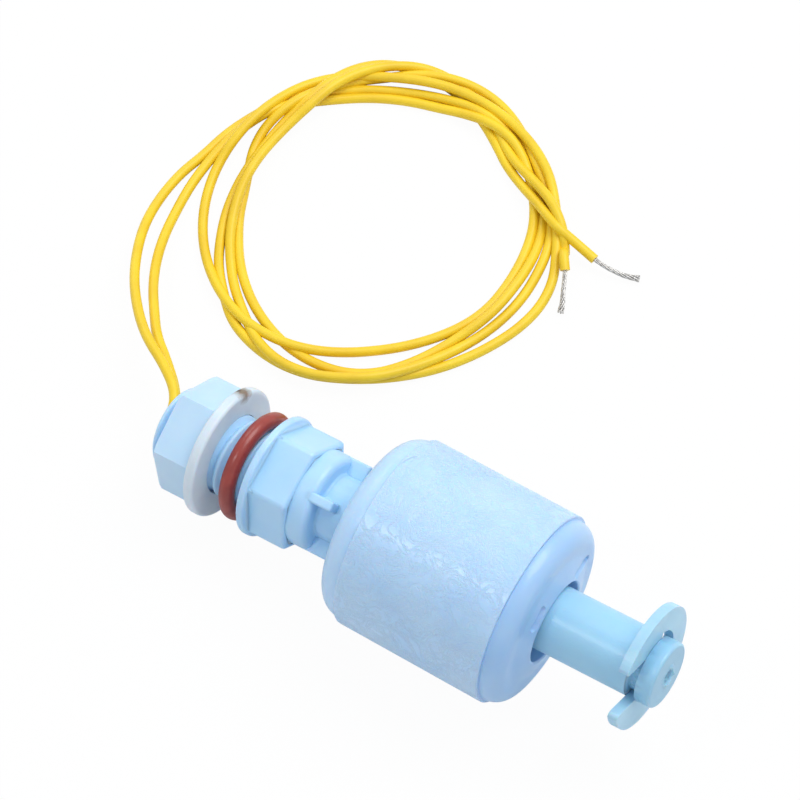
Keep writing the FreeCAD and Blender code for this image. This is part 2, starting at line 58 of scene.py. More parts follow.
camera_data = bpy.data.cameras.new("camera")
camera_data.lens = FOCAL_LENGTH
camera_data.sensor_width = 36.0
camera_data.clip_start = 0.01
camera_data.clip_end = 10.0
camera = add_object("camera", camera_data)
camera.location = CAMERA_PLACE
camera.rotation_euler = (math.radians(90 - CAMERA_ELEVATION), 0.0, math.radians(CAMERA_AZIMUTH))
bpy.context.scene.camera = camera


# ---- table and studio light --------------------------------------------------------------------
# A white sweep under a light tent: broad, even light from above, a little more from the far left,
# and only a faint contact shadow.
LAMP_AIM = Vector((0.0, 0.01, 0.0))
TABLE_HALF = 2.0
TABLE_TOP = -5e-5                # a hair under the part, whose lowest point is at zero
TABLE_GLOW = 0.96                # share of its own white that the camera sees on the table
bpy.context.scene.view_settings.view_transform = "Standard"


def node_in(tree, kind, **values):
    """Adds a shader node and sets its properties and the inputs of those names."""
    made = tree.nodes.new(kind)
    for name, value in values.items():
        label = name.replace("_", " ")
        if label in made.inputs:
            made.inputs[label].default_value = value
        else:
            setattr(made, name, value)
    return made


def link(tree, *pairs):
    """Joins each pair of sockets, from output to input."""
    for start, end in pairs:
        tree.links.new(start, end)


def colour(red, green, blue):
    """A colour as a paint chart gives it, 0 to 255, made linear."""
    parts = [c / 255 for c in (red, green, blue)]
    linear = [c / 12.92 if c <= 0.04045 else ((c + 0.055) / 1.055) ** 2.4 for c in parts]
    return tuple(linear) + (1.0,)


world = bpy.data.worlds.new("light tent")
bpy.context.scene.world = world
world.use_nodes = True
tree = world.node_tree
tree.nodes.clear()
tent = node_in(tree, "ShaderNodeBackground", Color=(0.93, 0.96, 1.0, 1.0), Strength=0.56)
white = node_in(tree, "ShaderNodeBackground", Color=(1.0, 1.0, 1.0, 1.0), Strength=1.0)
ray = node_in(tree, "ShaderNodeLightPath")
either = node_in(tree, "ShaderNodeMath", operation="MAXIMUM")
pick = node_in(tree, "ShaderNodeMixShader")
out = node_in(tree, "ShaderNodeOutputWorld")
link(tree, (ray.outputs["Is Camera Ray"], either.inputs[0]),
     (ray.outputs["Is Glossy Ray"], either.inputs[1]), (either.outputs[0], pick.inputs[0]),
     (tent.outputs[0], pick.inputs[1]), (white.outputs[0], pick.inputs[2]),
     (pick.outputs[0], out.inputs[0]))

for name, place, size, power in (("overhead", (0.10, 0.26, 0.50), 0.40, 2.0),
                                 ("far_left", (-0.45, 0.30, 0.40), 0.30, 0.6),
                                 ("near_right", (0.35, -0.40, 0.30), 0.30, 0.05),
                                 ("sparkle", (-0.145, -0.190, 0.400), 0.014, 0.20)):
    lamp_data = bpy.data.lights.new(name, "AREA")
    lamp_data.shape = "SQUARE"
    lamp_data.size = size
    lamp_data.energy = power
    lamp = add_object(name, lamp_data)
    lamp.location = place
    lamp.rotation_euler = (LAMP_AIM - Vector(place)).to_track_quat("-Z", "Y").to_euler()

table_mesh = bpy.data.meshes.new("table")
table_mesh.from_pydata([(x * TABLE_HALF, y * TABLE_HALF, TABLE_TOP)
                        for x, y in ((-1, -1), (1, -1), (1, 1), (-1, 1))], [], [(0, 1, 2, 3)])
table = add_object("table", table_mesh)
sweep = bpy.data.materials.new("white sweep")
sweep.use_nodes = True
tree = sweep.node_tree
tree.nodes.clear()
paper = node_in(tree, "ShaderNodeBsdfDiffuse", Color=(0.86, 0.86, 0.86, 1.0))
glow = node_in(tree, "ShaderNodeEmission", Color=(1.0, 1.0, 1.0, 1.0), Strength=1.0)
ray = node_in(tree, "ShaderNodeLightPath")
share = node_in(tree, "ShaderNodeMath", operation="MULTIPLY")
share.inputs[1].default_value = TABLE_GLOW
pick = node_in(tree, "ShaderNodeMixShader")
out = node_in(tree, "ShaderNodeOutputMaterial")
link(tree, (ray.outputs["Is Camera Ray"], share.inputs[0]), (share.outputs[0], pick.inputs[0]),
     (paper.outputs[0], pick.inputs[1]), (glow.outputs[0], pick.inputs[2]),
     (pick.outputs[0], out.inputs[0]))
table_mesh.materials.append(sweep)


# ---- leads -------------------------------------------------------------------------------------
# Two limp hook-up wires with satin yellow insulation.  They leave the stud's mouth one above the
# other, come down to the table and make two and a half loose turns that twist over one another.
LEAD_DIAMETER = 0.00125
COIL_MIDDLE = (-30.0, 39.9)      # millimetres, as are the lists below
STATION_STEP = 10                # degrees between the points of a turn
FIRST_STATION = 190
SETTLE = 1.16                    # centres of two stacked strands, a little pressed together
FIRST_LAYER = LEAD_DIAMETER * 500 + 0.03    # height of a strand that lies on the table
HEAP_LEAN = (0.28, -0.44)        # the heap leans towards the switch as it rises
LEAN_FROM = 1.0                  # above this height; below it the strands lean away

# Radius of each turn, one number for every ten degrees, clockwise seen from above.
turns = {
    "a1": [24.5, 23.5, 22.5, 21.8, 20.9, 19.9, 19.4, 19.1, 19.1, 19.4, 19.9, 20.3,
           20.4, 20.4, 20.2, 20.0, 19.8, 19.4, 18.9, 18.6, 18.6, 18.7, 19.0, 19.7,
           20.6, 21.6, 22.0, 21.8, 21.3, 20.6, 19.9, 19.2, 18.6, 18.1, 17.9, 17.8],
    "a2": [18.3, 19.4, 20.2, 20.6, 20.8, 20.7, 20.8, 21.1, 22.0, 22.6, 22.8, 22.5,
           21.7, 20.9, 20.7, 20.8, 20.9, 20.7, 20.4, 20.3, 20.2, 20.2, 20.3, 20.6,
           21.2, 22.0, 22.7, 23.4, 23.6, 22.9, 21.5, 20.6, 19.7, 19.1, 18.6, 18.3],
    "a3": [18.1, 18.0, 18.1, 18.5, 19.3, 20.8, 22.0, 22.8, 23.1, 22.5, 21.4, 20.2,
           18.8, 18.4, 19.4, 20.9, 22.1, 23.0],
    "b1": [23.4, 22.6, 21.9, 21.2, 19.6, 18.7, 18.2, 17.9, 17.8, 17.9, 18.6, 19.5,
           20.0, 19.7, 19.2, 18.9, 18.6, 18.2, 17.9, 17.8, 17.9, 17.9, 17.8, 17.8,
           18.0, 18.4, 19.1, 20.0, 20.9, 21.6, 22.2, 22.4, 22.5, 22.5, 22.4, 22.3],
    "b2": [22.2, 22.1, 22.1, 22.2, 22.3, 22.0, 21.4, 21.0, 21.0, 21.2, 21.3, 21.4,
           21.5, 21.6, 21.6, 21.4, 21.5, 21.8, 22.6, 22.8, 22.5, 22.1, 21.9, 21.9,
           22.0, 22.3, 22.8, 23.5, 23.8, 23.7, 23.3, 22.1, 21.3, 20.3, 19.6, 19.0],
    "b3": [18.6, 18.4, 18.7, 19.3, 20.2, 21.7, 22.9, 23.2, 22.4, 21.3, 20.2, 18.9,
           17.9, 17.3, 17.8, 19.2, 21.2],
}
# Which turn lies on which, lowest first, from each of these angles on.
lay_order = [(190, "a1 b1 a2 b2 b3 a3"), (110, "b3 a3 a1 b1 a2 b2"), (60, "a1 b1 a2 b2 b3 a3"),
             (10, "b1 a1 a2 b2"), (-30, "b1 a1 b2 a2"), (-70, "a1 b2 a2 b1")]

heights = {name: [] for name in turns}
for station in range(36):
    angle = FIRST_STATION - STATION_STEP * station
    order = [names for start, names in lay_order if start >= angle][-1].split()
    laid = []
    for name in order:
        if station >= len(turns[name]):
            continue
        radius = turns[name][station]
        height = FIRST_LAYER
        for other_radius, other_height in laid:
            apart = abs(radius - other_radius)
            if apart < SETTLE:
                height = max(height, other_height + math.sqrt(SETTLE ** 2 - apart ** 2))
        laid.append((radius, height))
        heights[name].append(height)


def coil_points(names):
    """The turns of one lead, in order, as points in millimetres."""
    radii = [r for name in names for r in turns[name]]
    levels = [h for name in names for h in heights[name]]
    eased = [levels[0]] + [(a + 2 * b + c) / 4 for a, b, c in zip(levels, levels[1:], levels[2:])]
    eased.append(levels[-1])
    points = []
    for i, (radius, height) in enumerate(zip(radii, eased)):
        angle = math.radians(FIRST_STATION - STATION_STEP * i)
        lift = height - LEAN_FROM
        points.append((COIL_MIDDLE[0] + radius * math.cos(angle) + HEAP_LEAN[0] * lift,
                       COIL_MIDDLE[1] + radius * math.sin(angle) + HEAP_LEAN[1] * lift, height))
    return points


def cord_curve(name, points, diameter):
    """One smooth open line with the points, in millimetres, as its control points."""
    data = bpy.data.curves.new(name, "CURVE")
    data.dimensions = "3D"
    spline = data.splines.new("NURBS")
    spline.points.add(len(points) - 1)
    for point, (x, y, z) in zip(spline.points, points):
        point.co = (x / 1000, y / 1000, z / 1000, 1.0)
    spline.order_u = 3
    spline.use_endpoint_u = True
    data.resolution_u = 8
    data.bevel_depth = diameter / 2
    data.bevel_resolution = 5
    data.use_fill_caps = True
    return add_object(name, data)


# Each lead's way from the stud's mouth to the coil, and from the coil to its stripped end.
mouth_a = [(-32.67, 0.0, 8.10), (-34.2, 0.0, 7.9)]
mouth_b = [(-32.46, 0.0, 6.52), (-34.0, 0.0, 6.32)]
route_a = [(-35.4, 3.2, 8.1), (-38.9, 5.7, 7.9), (-43.0, 7.9, 7.1), (-46.5, 10.9, 5.9),
           (-49.9, 14.8, 4.5), (-52.6, 19.3, 3.0), (-54.4, 23.6, 1.8), (-55.2, 28.0, 0.9),
           (-55.1, 32.2, 0.7)]
route_b = [(-35.9, 3.9, 6.3), (-39.9, 7.3, 6.0), (-42.8, 9.5, 5.4), (-45.2, 12.4, 4.4),
           (-47.7, 15.6, 3.5), (-49.9, 19.4, 2.4), (-51.5, 23.4, 1.4), (-52.5, 27.6, 0.8),
           (-53.1, 31.6, 0.7)]
end_a = [(-8.6, 47.3, 2.9), (-7.1, 45.4, 2.0)]
end_b = [(-8.6, 49.6, 2.0), (-5.0, 49.0, 1.4)]
lead_a = cord_curve("yellow_lead_a", mouth_a + route_a + coil_points(["a1", "a2", "a3"]) + end_a,
                    LEAD_DIAMETER)
lead_b = cord_curve("yellow_lead_b", mouth_b + route_b + coil_points(["b1", "b2", "b3"]) + end_b,
                    LEAD_DIAMETER)

# Shared effect: soft patches and fine grain over a surface, used by every finish here.
grain = bpy.data.node_groups.new("patches and grain", "ShaderNodeTree")
for label, kind, value in (("Colour", "NodeSocketColor", (0.8, 0.8, 0.8, 1)),
                           ("Patch Colour", "NodeSocketColor", (0.7, 0.7, 0.7, 1)),
                           ("Patch Size", "NodeSocketFloat", 300.0),
                           ("Grain Size", "NodeSocketFloat", 4000.0),
                           ("Grain Depth", "NodeSocketFloat", 0.05)):
    socket = grain.interface.new_socket(name=label, in_out="INPUT", socket_type=kind)
    socket.default_value = value
grain.interface.new_socket(name="Colour", in_out="OUTPUT", socket_type="NodeSocketColor")
grain.interface.new_socket(name="Normal", in_out="OUTPUT", socket_type="NodeSocketVector")
given = node_in(grain, "NodeGroupInput")
result = node_in(grain, "NodeGroupOutput")
coords = node_in(grain, "ShaderNodeTexCoord")
patches = node_in(grain, "ShaderNodeTexNoise", Detail=3.0, Roughness=0.55)
fine = node_in(grain, "ShaderNodeTexNoise", Detail=2.0, Roughness=0.6)
spread = node_in(grain, "ShaderNodeMapRange", From_Min=0.35, From_Max=0.65)
blend = node_in(grain, "ShaderNodeMix", data_type="RGBA")
bump = node_in(grain, "ShaderNodeBump", Distance=0.00005)
link(grain, (coords.outputs["Object"], patches.inputs["Vector"]),
     (given.outputs["Patch Size"], patches.inputs["Scale"]),
     (coords.outputs["Object"], fine.inputs["Vector"]),
     (given.outputs["Grain Size"], fine.inputs["Scale"]),
     (patches.outputs["Fac"], spread.inputs["Value"]),
     (spread.outputs["Result"], blend.inputs[0]),
     (given.outputs["Colour"], blend.inputs[6]),
     (given.outputs["Patch Colour"], blend.inputs[7]),
     (blend.outputs[2], result.inputs["Colour"]),
     (fine.outputs["Fac"], bump.inputs["Height"]),
     (given.outputs["Grain Depth"], bump.inputs["Strength"]),
     (bump.outputs["Normal"], result.inputs["Normal"]))


def finish_of(name, base, patch, patch_size=300.0, grain_size=4000.0, grain_depth=0.05, **shader):
    """A surface with the shared patches and grain.  Returns the material, its shader and group."""
    made = bpy.data.materials.new(name)
    made.use_nodes = True
    principled = made.node_tree.nodes["Principled BSDF"]
    for label, value in shader.items():
        principled.inputs[label.replace("_", " ")].default_value = value
    skin = node_in(made.node_tree, "ShaderNodeGroup", node_tree=grain)
    skin.inputs["Colour"].default_value = base
    skin.inputs["Patch Colour"].default_value = patch
    skin.inputs["Patch Size"].default_value = patch_size
    skin.inputs["Grain Size"].default_value = grain_size
    skin.inputs["Grain Depth"].default_value = grain_depth
    link(made.node_tree, (skin.outputs["Colour"], principled.inputs["Base Color"]),
         (skin.outputs["Normal"], principled.inputs["Normal"]))
    return made, principled, skin


def dress(piece, material):
    """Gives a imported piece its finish."""
    nodes[piece].data.materials.clear()
    nodes[piece].data.materials.append(material)


insulation, _, _ = finish_of("yellow insulation", colour(243, 208, 40), colour(232, 194, 34),
                             patch_size=180.0, grain_size=2500.0, grain_depth=0.08,
                             Roughness=0.42, Specular_IOR_Level=0.45)
for lead in (lead_a, lead_b):
    lead.data.materials.append(insulation)
    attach(lead, "stem")
dress("lead_jacket_upper", insulation)
dress("lead_jacket_lower", insulation)
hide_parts("lead_a", "wire_coil", "tail_a")
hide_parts("lead_b", "tail_b")


# ---- stripped ends -----------------------------------------------------------------------------
# Each lead ends in a stripped length of seven tinned strands, twisted when they were tinned and a
# little splayed at the tip.
STRAND_DIAMETER = 0.00019
STRANDS = 7

tinned, _, _ = finish_of("tinned strands", colour(205, 203, 200), colour(160, 158, 156),
                         patch_size=2500.0, grain_size=9000.0, grain_depth=0.2,
                         Roughness=0.32, Metallic=0.85)
strand_settings = (("Strands", "NodeSocketInt", STRANDS),
                   ("Strand Radius", "NodeSocketFloat", STRAND_DIAMETER / 2),
                   ("Lay Radius", "NodeSocketFloat", STRAND_DIAMETER),
                   ("Twist", "NodeSocketFloat", 7.0),
                   ("Splay", "NodeSocketFloat", 0.9),
                   ("Finish", "NodeSocketMaterial", tinned))
strand_tree = bpy.data.node_groups.new("twisted strands", "GeometryNodeTree")
strand_tree.interface.new_socket(name="Geometry", in_out="INPUT", socket_type="NodeSocketGeometry")
for label, kind, _ in strand_settings:
    strand_tree.interface.new_socket(name=label, in_out="INPUT", socket_type=kind)
strand_tree.interface.new_socket(name="Geometry", in_out="OUTPUT", socket_type="NodeSocketGeometry")
given = node_in(strand_tree, "NodeGroupInput")
result = node_in(strand_tree, "NodeGroupOutput")


def maths(tree, operation, *values):
    """The outcome of a Math node on these numbers or sockets."""
    made = node_in(tree, "ShaderNodeMath", operation=operation)
    for slot, value in zip(made.inputs, values):
        if isinstance(value, (int, float)):
            slot.default_value = value
        else:
            tree.links.new(value, slot)
    return made.outputs[0]


even = node_in(strand_tree, "GeometryNodeResampleCurve", Count=40)
copies = node_in(strand_tree, "GeometryNodeDuplicateElements", domain="SPLINE")
along = node_in(strand_tree, "GeometryNodeSplineParameter")
tangent = node_in(strand_tree, "GeometryNodeInputTangent")
upright = node_in(strand_tree, "ShaderNodeVectorMath", operation="CROSS_PRODUCT")
upright.inputs[1].default_value = (0.0, 0.0, 1.0)
aside = node_in(strand_tree, "ShaderNodeVectorMath", operation="CROSS_PRODUCT")
wound = maths(strand_tree, "MULTIPLY", along.outputs["Factor"], given.outputs["Twist"])
phase = maths(strand_tree, "MULTIPLY", copies.outputs["Duplicate Index"],
              math.tau / (STRANDS - 1))
angle = maths(strand_tree, "ADD", wound, phase)
near_tip = maths(strand_tree, "POWER", along.outputs["Factor"], 4.0)
opening = maths(strand_tree, "MULTIPLY", near_tip, given.outputs["Splay"])
opened = maths(strand_tree, "ADD", opening, 1.0)
outer = maths(strand_tree, "GREATER_THAN", copies.outputs["Duplicate Index"], 0.5)
lay = maths(strand_tree, "MULTIPLY", given.outputs["Lay Radius"], outer)
reach = maths(strand_tree, "MULTIPLY", lay, opened)
across = maths(strand_tree, "MULTIPLY", reach, maths(strand_tree, "COSINE", angle))
over = maths(strand_tree, "MULTIPLY", reach, maths(strand_tree, "SINE", angle))
shift_across = node_in(strand_tree, "ShaderNodeVectorMath", operation="SCALE")
shift_over = node_in(strand_tree, "ShaderNodeVectorMath", operation="SCALE")
shift = node_in(strand_tree, "ShaderNodeVectorMath", operation="ADD")
move = node_in(strand_tree, "GeometryNodeSetPosition")
section = node_in(strand_tree, "GeometryNodeCurvePrimitiveCircle", Resolution=8)
sweep_strand = node_in(strand_tree, "GeometryNodeCurveToMesh")
sweep_strand.inputs["Fill Caps"].default_value = True
realize = node_in(strand_tree, "GeometryNodeRealizeInstances")
paint_strand = node_in(strand_tree, "GeometryNodeSetMaterial")
link(strand_tree, (given.outputs["Geometry"], even.inputs["Curve"]),
     (even.outputs["Curve"], copies.inputs["Geometry"]),
     (given.outputs["Strands"], copies.inputs["Amount"]),
     (tangent.outputs["Tangent"], upright.inputs[0]),
     (tangent.outputs["Tangent"], aside.inputs[0]),
     (upright.outputs["Vector"], aside.inputs[1]),
     (upright.outputs["Vector"], shift_across.inputs["Vector"]),
     (across, shift_across.inputs["Scale"]),
     (aside.outputs["Vector"], shift_over.inputs["Vector"]),
     (over, shift_over.inputs["Scale"]),
     (shift_across.outputs["Vector"], shift.inputs[0]),
     (shift_over.outputs["Vector"], shift.inputs[1]),
     (copies.outputs["Geometry"], move.inputs["Geometry"]),
     (shift.outputs["Vector"], move.inputs["Offset"]),
     (move.outputs["Geometry"], sweep_strand.inputs["Curve"]),
     (given.outputs["Strand Radius"], section.inputs["Radius"]),
     (section.outputs["Curve"], sweep_strand.inputs["Profile Curve"]),
     (sweep_strand.outputs["Mesh"], realize.inputs["Geometry"]),
     (realize.outputs["Geometry"], paint_strand.inputs["Geometry"]),
     (given.outputs["Finish"], paint_strand.inputs["Material"]),
     (paint_strand.outputs["Geometry"], result.inputs["Geometry"]))

strip_a = [(-7.1, 45.4, 2.0), (-6.5, 44.3, 1.6), (-5.9, 43.0, 1.1), (-5.2, 41.8, 0.7),
           (-4.9, 40.8, 0.45)]
strip_b = [(-5.0, 49.0, 1.4), (-3.6, 48.9, 1.2), (-2.2, 49.1, 0.9), (-0.7, 49.4, 0.6),
           (0.8, 50.1, 0.45)]
for name, points in (("stripped_end_a", strip_a), ("stripped_end_b", strip_b)):
    line = cord_curve(name + "_line", points, 0.0)
    modifier = line.modifiers.new("strands", "NODES")
    modifier.node_group = strand_tree
    sockets = {item.name: item.identifier for item in strand_tree.interface.items_tree
               if item.in_out == "INPUT"}
    for label, _, value in strand_settings:
        modifier[sockets[label]] = value
    bpy.context.view_layer.update()
    evaluated = line.evaluated_get(bpy.context.evaluated_depsgraph_get())
    mesh = bpy.data.meshes.new_from_object(evaluated)
    bpy.data.objects.remove(line)
    end = add_object(name, mesh)
    for polygon in mesh.polygons:
        polygon.use_smooth = True
    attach(end, "stem")
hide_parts("bare_end_a")
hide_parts("bare_end_b")


# ---- stem --------------------------------------------------------------------------------------
# One injection moulding in pale blue polypropylene: threaded stud, sealing flange, hexagon, collar
# with four ribs, the tube that the float slides on, and a head behind the clip's groove.  Its
# edges are softly rounded and its skin is satin, with a torn gate mark on the head.
AXIS_START = Vector((-0.0196736, 0.0, 0.0090101))     # middle of the sealing face
AXIS_ALONG = Vector((0.991377, 0.0, 0.131041))        # from the stud to the head
AXIS_UP = Vector((-0.131041, 0.0, 0.991377))
AXIS_ASIDE = Vector((0.0, -1.0, 0.0))
# Millimetres from here on, along the stem from the sealing face, or radii.
THREAD_PITCH = 1.5
THREAD_CREST = 5.0
THREAD_DEPTH = 0.72
THREAD_FLANKS = 0.80             # share of the pitch that the two flanks take
THREAD_STEP = 0.1
STUD_CORE = 4.1
STUD_END = -13.9
BORE = 2.6
HEX_FLATS = 12.6
HEX_NEAR = 1.0
HEX_FAR = 6.0
HEX_TURN = math.radians(-13.5)
HEX_EDGE = 0.5
HEX_UNDER = 0.88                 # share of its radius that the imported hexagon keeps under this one
COLLAR_RADIUS = 6.0
COLLAR_END = 8.5
COLLAR_EDGE = 0.9
ROOT_EDGE = 0.35                 # fillet from the collar's end to the tube
RIB_END = 10.9
RIB_WIDTH = 1.2
RIB_EDGE = 0.28
RIB_TURN = 25.1
COLLAR_UNDER = 0.82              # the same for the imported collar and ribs
TUBE_RADIUS = 4.0
HEAD_END = 53.2
HEAD_FACE = (0.86, 3.66)         # from the gate's recess to the head's rounded edge
FACE_PROUD = 0.012
FLAKES = 22
DEEP_COLOUR = (-0.0095, -0.0035)    # metres along the stem, from where the tube's colour deepens


def on_stem(along, radius, angle):
    """A point given by its place along the stem, radius in millimetres and angle round it."""
    up, aside = radius * math.cos(angle), radius * math.sin(angle)
    return AXIS_START + (AXIS_ALONG * along + AXIS_UP * up + AXIS_ASIDE * aside) / 1000


def stem_place(point):
    """Millimetres along the stem, and radius."""
    offset = (point - AXIS_START) * 1000
    along = offset.dot(AXIS_ALONG)
    return along, (offset - AXIS_ALONG * along).length


def lathe(target, profile, sides, closed=False, skew=None, place=on_stem):
    """Adds a skin round an axis.  profile gives (along, radius); skew alters the radius."""
    rings = []
    for along, radius in profile:
        ring = []
        for k in range(sides):
            turn = math.tau * k / sides
            reach = skew(along, radius, turn) if skew else radius
            ring.append(target.verts.new(place(along, reach, turn)))
        rings.append(ring)
    pairs = list(zip(rings, rings[1:] + ([rings[0]] if closed else [])))
    if not closed:
        pairs = pairs[:len(rings) - 1]
    for first, second in pairs:
        for k in range(sides):
            target.faces.new((first[k], first[(k + 1) % sides], second[(k + 1) % sides], second[k]))
    return rings


def merged_copy(piece):
    """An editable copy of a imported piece, with its loose triangles joined."""
    made = bmesh.new()
    made.from_mesh(nodes[piece].data)
    bmesh.ops.remove_doubles(made, verts=made.verts, dist=2e-6)
    return made


def finished(name, made, material, body, bevel=0.0, sharp=35):
    """Turns a bmesh into a piece with soft edges, smooth skin, finish and body.

    bevel is the width in millimetres of its soft edges, which are those sharper than sharp.
    """
    mesh = bpy.data.meshes.new(name)
    made.to_mesh(mesh)
    made.free()
    piece = add_object(name, mesh)
    mesh.shade_smooth()
    mesh.set_sharp_from_angle(angle=math.radians(35))
    if bevel:
        soft = piece.modifiers.new("moulded edges", "BEVEL")
        soft.width = bevel / 1000
        soft.segments = 3
        soft.limit_method = "ANGLE"
        soft.angle_limit = math.radians(sharp)
        soft.miter_outer = "MITER_ARC"
        soft.use_clamp_overlap = True
    even = piece.modifiers.new("flat faces stay flat", "WEIGHTED_NORMAL")
    even.keep_sharp = True
    even.weight = 100
    evaluated = piece.evaluated_get(bpy.context.evaluated_depsgraph_get())
    rounded = bpy.data.meshes.new_from_object(evaluated)
    piece.modifiers.clear()
    piece.data = rounded
    piece.data.materials.clear()
    piece.data.materials.append(material)
    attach(piece, body)
    return piece


moulding, moulding_shader, moulding_skin = finish_of(
    "moulded polypropylene", colour(180, 219, 250), colour(171, 213, 247), patch_size=120.0,
    grain_size=3600.0, grain_depth=0.45, Roughness=0.30, Subsurface_Weight=0.25,
    Subsurface_Scale=0.0015)
# The solid end is milky; along the thin tube the colour is deeper.
tree = moulding.node_tree
coords = node_in(tree, "ShaderNodeTexCoord")
along_stem = node_in(tree, "ShaderNodeVectorMath", operation="DOT_PRODUCT")
along_stem.inputs[1].default_value = AXIS_ALONG
deepen = node_in(tree, "ShaderNodeMapRange", From_Min=DEEP_COLOUR[0], From_Max=DEEP_COLOUR[1])
deeper = node_in(tree, "ShaderNodeMix", data_type="RGBA", blend_type="MULTIPLY")
deeper.inputs[7].default_value = colour(226, 243, 240)
link(tree, (coords.outputs["Object"], along_stem.inputs[0]),
     (along_stem.outputs["Value"], deepen.inputs["Value"]),
     (deepen.outputs["Result"], deeper.inputs[0]),
     (moulding_skin.outputs["Colour"], deeper.inputs[6]),
     (deeper.outputs[2], moulding_shader.inputs["Base Color"]))
stem_mesh = merged_copy("stem_body")


def draw_in(near, far, beyond, share, up_to=math.inf, back=0.0):
    """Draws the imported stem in, between two places along it and between two radii.

    share is what is left of the radius, as a number or a function of it; back moves the skin
    towards the stud.
    """
    for vert in stem_mesh.verts:
        along, radius = stem_place(vert.co)
        if near < along < far and beyond < radius < up_to:
            axis_point = AXIS_START + AXIS_ALONG * along / 1000
            kept = share(radius) if callable(share) else share
            vert.co = axis_point + (vert.co - axis_point) * kept - AXIS_ALONG * (back / 1000)


def add_softened(edges, part, width):
    """Rounds these edges of a part and adds the part to the stem's skin."""
    bmesh.ops.bevel(part, geom=edges, offset=width / 1000, segments=4, profile=0.5,
                    affect="EDGES", clamp_overlap=True)
    holder = bpy.data.meshes.new("softened part")
    part.to_mesh(holder)
    part.free()
    stem_mesh.from_mesh(holder)
    bpy.data.meshes.remove(holder)


# The plain stud shrinks to the thread's core; the flange beside it stays.
draw_in(-math.inf, 0.002, STUD_CORE, lambda radius: STUD_CORE / radius,
        up_to=THREAD_CREST + 0.02)


def thread(along, radius, turn):
    """Radius of a right-hand V thread with flat crests, faded out at both ends."""
    if radius < THREAD_CREST - 0.01:
        return radius
    phase = (along / THREAD_PITCH + turn / math.tau) % 1.0
    groove = max(0.0, 1.0 - abs(phase - 0.5) / (THREAD_FLANKS / 2))
    fade = min(1.0, max(0.0, -along - 0.5) / 0.7, max(0.0, along - STUD_END - 0.45) / 0.5)
    return radius - THREAD_DEPTH * groove * fade


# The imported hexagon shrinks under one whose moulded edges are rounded.
draw_in(HEX_NEAR + 0.005, HEX_FAR + 0.005, COLLAR_RADIUS + 0.05, HEX_UNDER)
soft_hex = bmesh.new()
ends = []
for along in (HEX_NEAR - 0.05, HEX_FAR):
    corners = [on_stem(along, HEX_FLATS / 2 / math.cos(math.pi / 6), HEX_TURN + math.pi / 3 * k)
               for k in range(6)]
    ends.append([soft_hex.verts.new(c) for c in corners])
    soft_hex.faces.new(ends[-1])
for k in range(6):
    soft_hex.faces.new((ends[0][k], ends[0][(k + 1) % 6], ends[1][(k + 1) % 6], ends[1][k]))
add_softened([e for e in soft_hex.edges if not set(e.verts) <= set(ends[0])], soft_hex, HEX_EDGE)

# The collar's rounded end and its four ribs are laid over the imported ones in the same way.
draw_in(HEX_FAR + 0.005, RIB_END + 0.02, TUBE_RADIUS + 0.1, COLLAR_UNDER, back=0.12)
collar_end = [(COLLAR_END - COLLAR_EDGE + COLLAR_EDGE * math.sin(math.pi / 2 * k / 8),
               COLLAR_RADIUS - COLLAR_EDGE + COLLAR_EDGE * math.cos(math.pi / 2 * k / 8))
              for k in range(9)]
root = [(COLLAR_END + ROOT_EDGE - ROOT_EDGE * math.cos(math.pi / 2 * k / 5),
         TUBE_RADIUS + 0.01 + ROOT_EDGE - ROOT_EDGE * math.sin(math.pi / 2 * k / 5))
        for k in range(6)]
lathe(stem_mesh, [(HEX_FAR - 0.3, TUBE_RADIUS), (HEX_FAR - 0.3, COLLAR_RADIUS)] + collar_end + root
      + [(COLLAR_END + 0.4, TUBE_RADIUS - 0.1)], 96)
soft_ribs = bmesh.new()
for k in range(4):
    turn = math.radians(RIB_TURN + 90 * k)
    out = AXIS_UP * math.cos(turn) + AXIS_ASIDE * math.sin(turn)
    side = AXIS_ASIDE * math.cos(turn) - AXIS_UP * math.sin(turn)
    corners = [soft_ribs.verts.new(AXIS_START + (AXIS_ALONG * a + out * r + side * w) / 1000)
               for a in (COLLAR_END - 1.4, RIB_END)
               for r in (TUBE_RADIUS - 0.4, COLLAR_RADIUS - 0.02)
               for w in (-RIB_WIDTH / 2, RIB_WIDTH / 2)]
    for face in ((0, 1, 3, 2), (4, 6, 7, 5), (0, 4, 5, 1),
                 (2, 3, 7, 6), (0, 2, 6, 4), (1, 5, 7, 3)):
        soft_ribs.faces.new([corners[i] for i in face])
add_softened(soft_ribs.edges[:], soft_ribs, RIB_EDGE)

# The head's face is a thin ring of its own.  Where the sprue was twisted off, low torn flakes are
# left round the gate.
lathe(stem_mesh, [(HEAD_END - 0.05, HEAD_FACE[0]), (HEAD_END + FACE_PROUD, HEAD_FACE[0]),
                  (HEAD_END + FACE_PROUD, HEAD_FACE[1]), (HEAD_END - 0.05, HEAD_FACE[1] + 0.04)],
      96, closed=True)
chance = random.Random(4)
torn = []
for k in range(FLAKES):
    turn = math.tau * k / FLAKES
    inner, outer = 0.82 + chance.uniform(0, 0.1), 1.25 + chance.uniform(0.0, 0.55)
    rise = chance.choice((0.05, 0.1, 0.16, 0.34)) if 5 < k < 19 else 0.05
    flake = ((-0.05, inner), (rise, (inner + outer) / 2 - 0.1), (rise * 0.5, outer - 0.12),
             (-0.05, outer))
    torn.append([stem_mesh.verts.new(on_stem(HEAD_END + a, r, turn)) for a, r in flake])
for k in range(FLAKES):
    here, there = torn[k], torn[(k + 1) % FLAKES]
    for i in range(3):
        stem_mesh.faces.new((here[i], here[i + 1], there[i + 1], there[i]))

